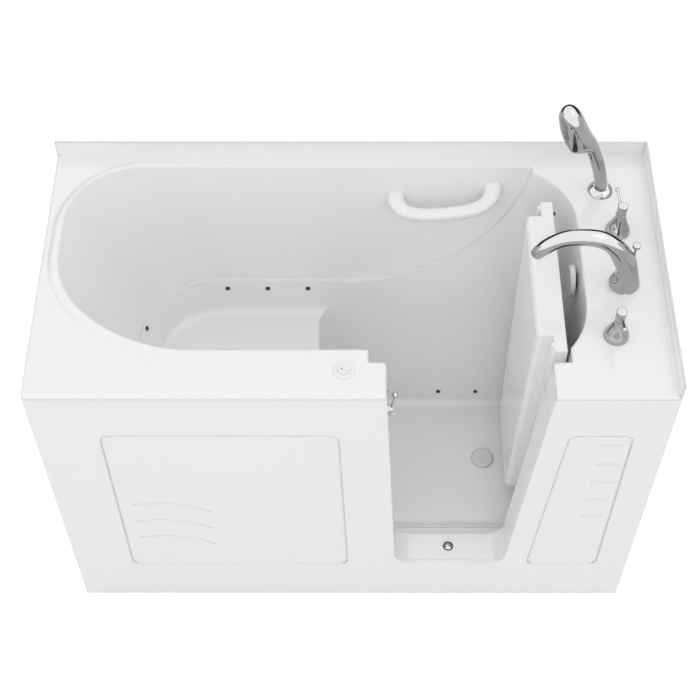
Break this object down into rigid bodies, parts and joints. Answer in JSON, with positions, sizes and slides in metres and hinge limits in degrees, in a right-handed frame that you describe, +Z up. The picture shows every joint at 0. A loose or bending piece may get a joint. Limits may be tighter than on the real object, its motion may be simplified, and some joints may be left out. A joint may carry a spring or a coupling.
{
  "type": "air jetted bathtub",
  "caption": "White walk-in bathtub with an inward-swinging door, raised seat, air jets, grab bar and a deck-mounted chrome faucet with hand shower.",
  "frame": {"origin": "on the floor, under the centre of the tub's outline", "axes": "+X to the faucet end, along the tub; +Y to the back wall, away from the door; +Z up"},
  "size_m": [1.524, 0.762, 1.3092],
  "materials": {
    "gelcoat": "smooth glossy white moulding",
    "panel": "smooth glossy white moulding",
    "bar_white": "satin white coating",
    "clip_plastic": "moulded",
    "seal_rubber": "soft pale rubber",
    "dark_rubber": "soft dark rubber",
    "steel": "brushed",
    "chrome": "polished",
    "button_white": "smooth",
    "overflow_white": "smooth",
    "grey_plastic": "moulded",
    "brass": "as cast and machined",
    "copper_pipe": "drawn tube",
    "black_plastic": "moulded",
    "pipe_white": "extruded pipe",
    "frame_steel": "zinc coated tube"
  },
  "bodies": {
    "tub": {"tub_shell": "gelcoat", "door_frame": "gelcoat", "front_apron": "panel", "left_end_panel": "panel", "left_access_panel": "panel", "right_access_panel": "panel", "grab_bar": "bar_white", "panel_clips": "clip_plastic", "hinge_frame_leaves": "steel", "foot_lock_nuts": "steel", "latch_base": "chrome", "latch_screw": "chrome", "sill_dome": "chrome", "spout": "chrome", "hot_valve_bell": "chrome", "cold_valve_bell": "chrome", "shower_holder": "chrome", "drain_body": "chrome", "air_button_bezel": "button_white", "spout_aerator": "grey_plastic", "blower": "grey_plastic", "hot_valve": "brass", "cold_valve": "brass", "deck_nuts": "brass", "drain_nut": "brass", "supply_tails": "copper_pipe", "crossover_pipes": "copper_pipe", "overflow_body": "black_plastic", "overflow_pipe": "black_plastic", "waste_tee": "black_plastic", "air_jets": "black_plastic", "levelling_feet": "black_plastic", "seat_back_manifold": "pipe_white", "seat_front_manifold": "pipe_white", "well_manifold": "pipe_white", "back_air_pipe": "pipe_white", "front_air_pipe": "pipe_white", "well_air_pipe": "pipe_white", "frame_rails": "frame_steel", "frame_crossbars": "frame_steel", "frame_uprights": "frame_steel", "basin_supports": "frame_steel", "equipment_tray": "frame_steel"},
    "door": {"door_panel": "gelcoat", "door_seal": "seal_rubber", "door_bumper": "dark_rubber", "hinge_door_leaves": "steel", "hinge_pins": "steel"},
    "latch": {"latch_lever": "chrome"},
    "air_button": {"air_button": "button_white"},
    "hot_handle": {"hot_handle": "chrome"},
    "cold_handle": {"cold_handle": "chrome"},
    "diverter": {"diverter_knob": "chrome"},
    "hand_shower": {"hand_shower": "chrome", "spray_plate": "grey_plastic"},
    "overflow_knob": {"overflow_knob": "overflow_white"},
    "drain_stopper": {"drain_stopper": "chrome"}
  },
  "joints": [
    {"name": "door_swing", "type": "hinge", "parent": "tub", "child": "door", "pos_m": [0.507, -0.247, 0.6], "axis": [0, 0, 1], "range_deg": [0, 90]},
    {"name": "latch_turn", "type": "hinge", "parent": "tub", "child": "latch", "pos_m": [0.0883, -0.326, 0.885], "axis": [1, 0, 0], "range_deg": [0, 85]},
    {"name": "air_button_press", "type": "slide", "parent": "tub", "child": "air_button", "axis": [0, 0, -1], "range_m": [0, 0.003], "stiffness_N_per_m": 600},
    {"name": "hot_turn", "type": "hinge", "parent": "tub", "child": "hot_handle", "pos_m": [0.664, 0.12, 1.1], "axis": [0, 0, 1], "range_deg": [0, 90]},
    {"name": "cold_turn", "type": "hinge", "parent": "tub", "child": "cold_handle", "pos_m": [0.627, -0.204, 1.1], "axis": [0, 0, 1], "range_deg": [-90, 0]},
    {"name": "diverter_pull", "type": "slide", "parent": "tub", "child": "diverter", "axis": [0, 0, 1], "range_m": [0, 0.01]},
    {"name": "hand_shower_lift", "type": "slide", "parent": "tub", "child": "hand_shower", "axis": [0, 0, 1], "range_m": [0, 0.15]},
    {"name": "overflow_turn", "type": "hinge", "parent": "tub", "child": "overflow_knob", "pos_m": [0.5635, 0.028, 0.932], "axis": [1, 0, 0], "range_deg": [0, 90]},
    {"name": "drain_stopper_lift", "type": "slide", "parent": "tub", "child": "drain_stopper", "axis": [0, 0, 1], "range_m": [0, 0.01]}
  ],
  "couplings": [
    {"joint": "drain_stopper_lift", "follows": "overflow_turn", "m_per_rad": 0.0063661}
  ]
}
